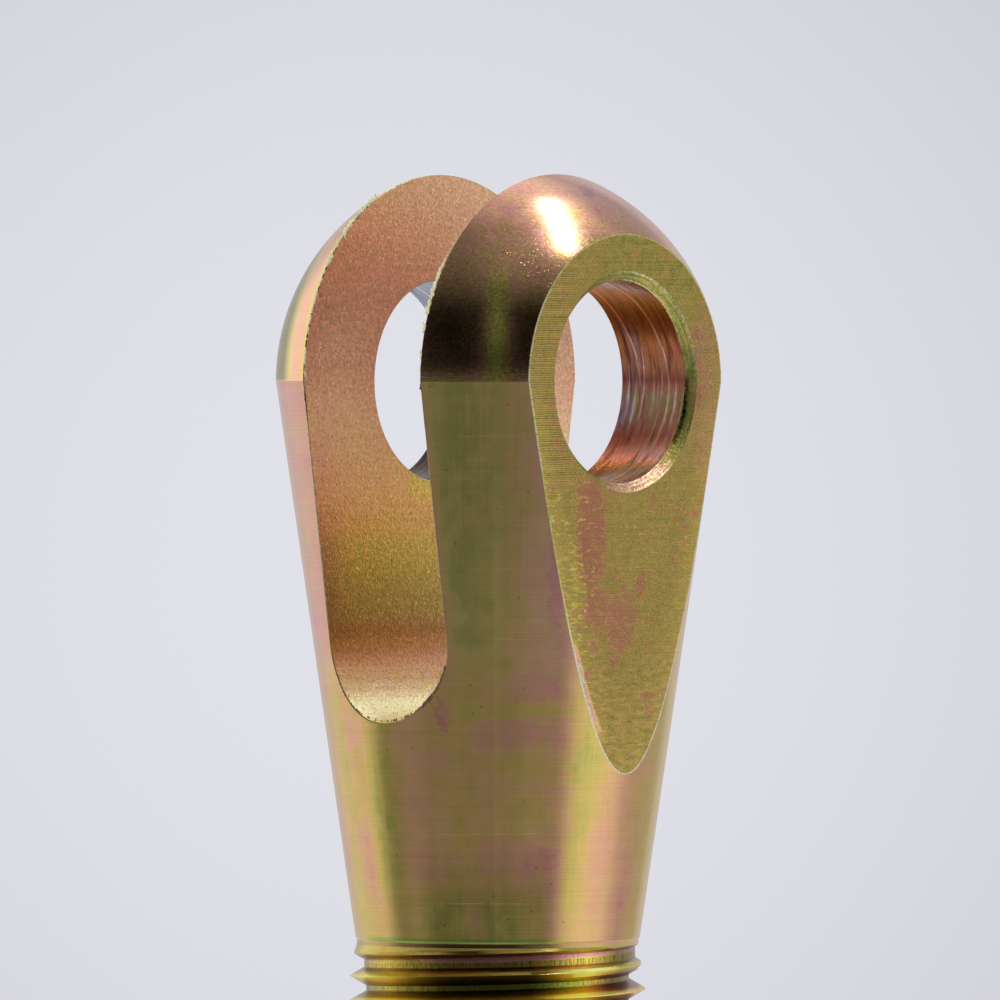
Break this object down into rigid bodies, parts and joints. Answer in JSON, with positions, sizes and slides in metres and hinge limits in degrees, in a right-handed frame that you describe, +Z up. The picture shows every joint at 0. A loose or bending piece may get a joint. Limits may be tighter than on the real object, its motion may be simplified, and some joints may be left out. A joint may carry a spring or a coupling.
{
  "type": "clevis rod end",
  "caption": "Forked rod end with a ball head, a full-radius slot between two flat-sided ears, a cross bore for a pin, a tapered body and a threaded shank.",
  "frame": {"origin": "centre of the cross bore, on the shank's axis and midway between the ears", "axes": "+X along the bore, through both ears; +Y out of the slot's open side; +Z up along the shank's axis, from the threaded end towards the head"},
  "size_m": [0.0214, 0.0268, 0.0894],
  "materials": {
    "yellow_zinc_steel": "as-machined steel, zinc plated with an iridescent yellow chromate"
  },
  "bodies": {
    "root": {"clevis_rod_end": "yellow_zinc_steel"}
  },
  "joints": []
}
